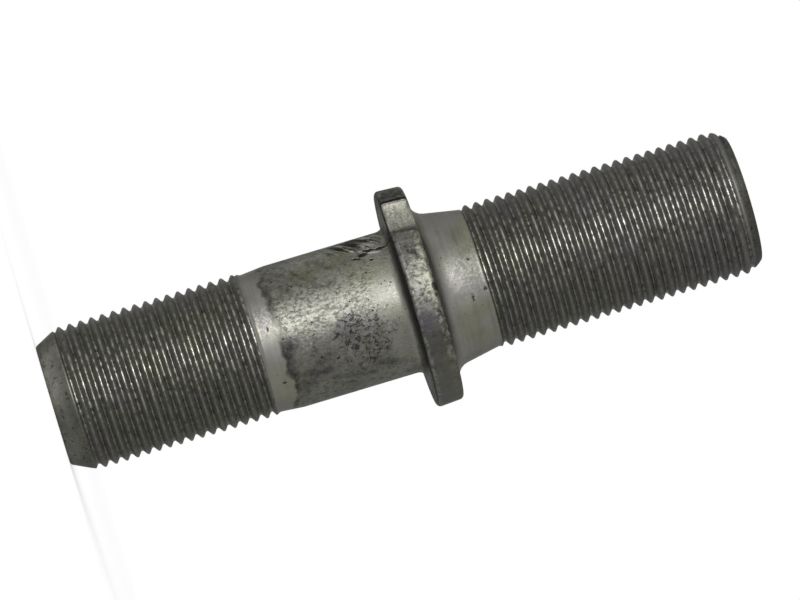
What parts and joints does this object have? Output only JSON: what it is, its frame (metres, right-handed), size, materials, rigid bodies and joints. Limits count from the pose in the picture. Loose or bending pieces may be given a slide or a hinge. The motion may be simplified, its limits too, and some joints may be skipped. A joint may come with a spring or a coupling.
{
  "type": "wheel bolt",
  "caption": "Double-ended wheel bolt with a fine thread at each end, a plain shank, a locating collar with a locking notch, and a tapered neck.",
  "frame": {"origin": "centre of the short thread's end face, on which the bolt stands", "axes": "+Z along the axis towards the long thread; the collar's notch faces between -X and -Y"},
  "size_m": [0.03, 0.03, 0.0962],
  "materials": {
    "steel": "forged and turned, phosphated, with stains and worn edges"
  },
  "bodies": {
    "root": {"wheel_bolt": "steel"}
  },
  "joints": []
}
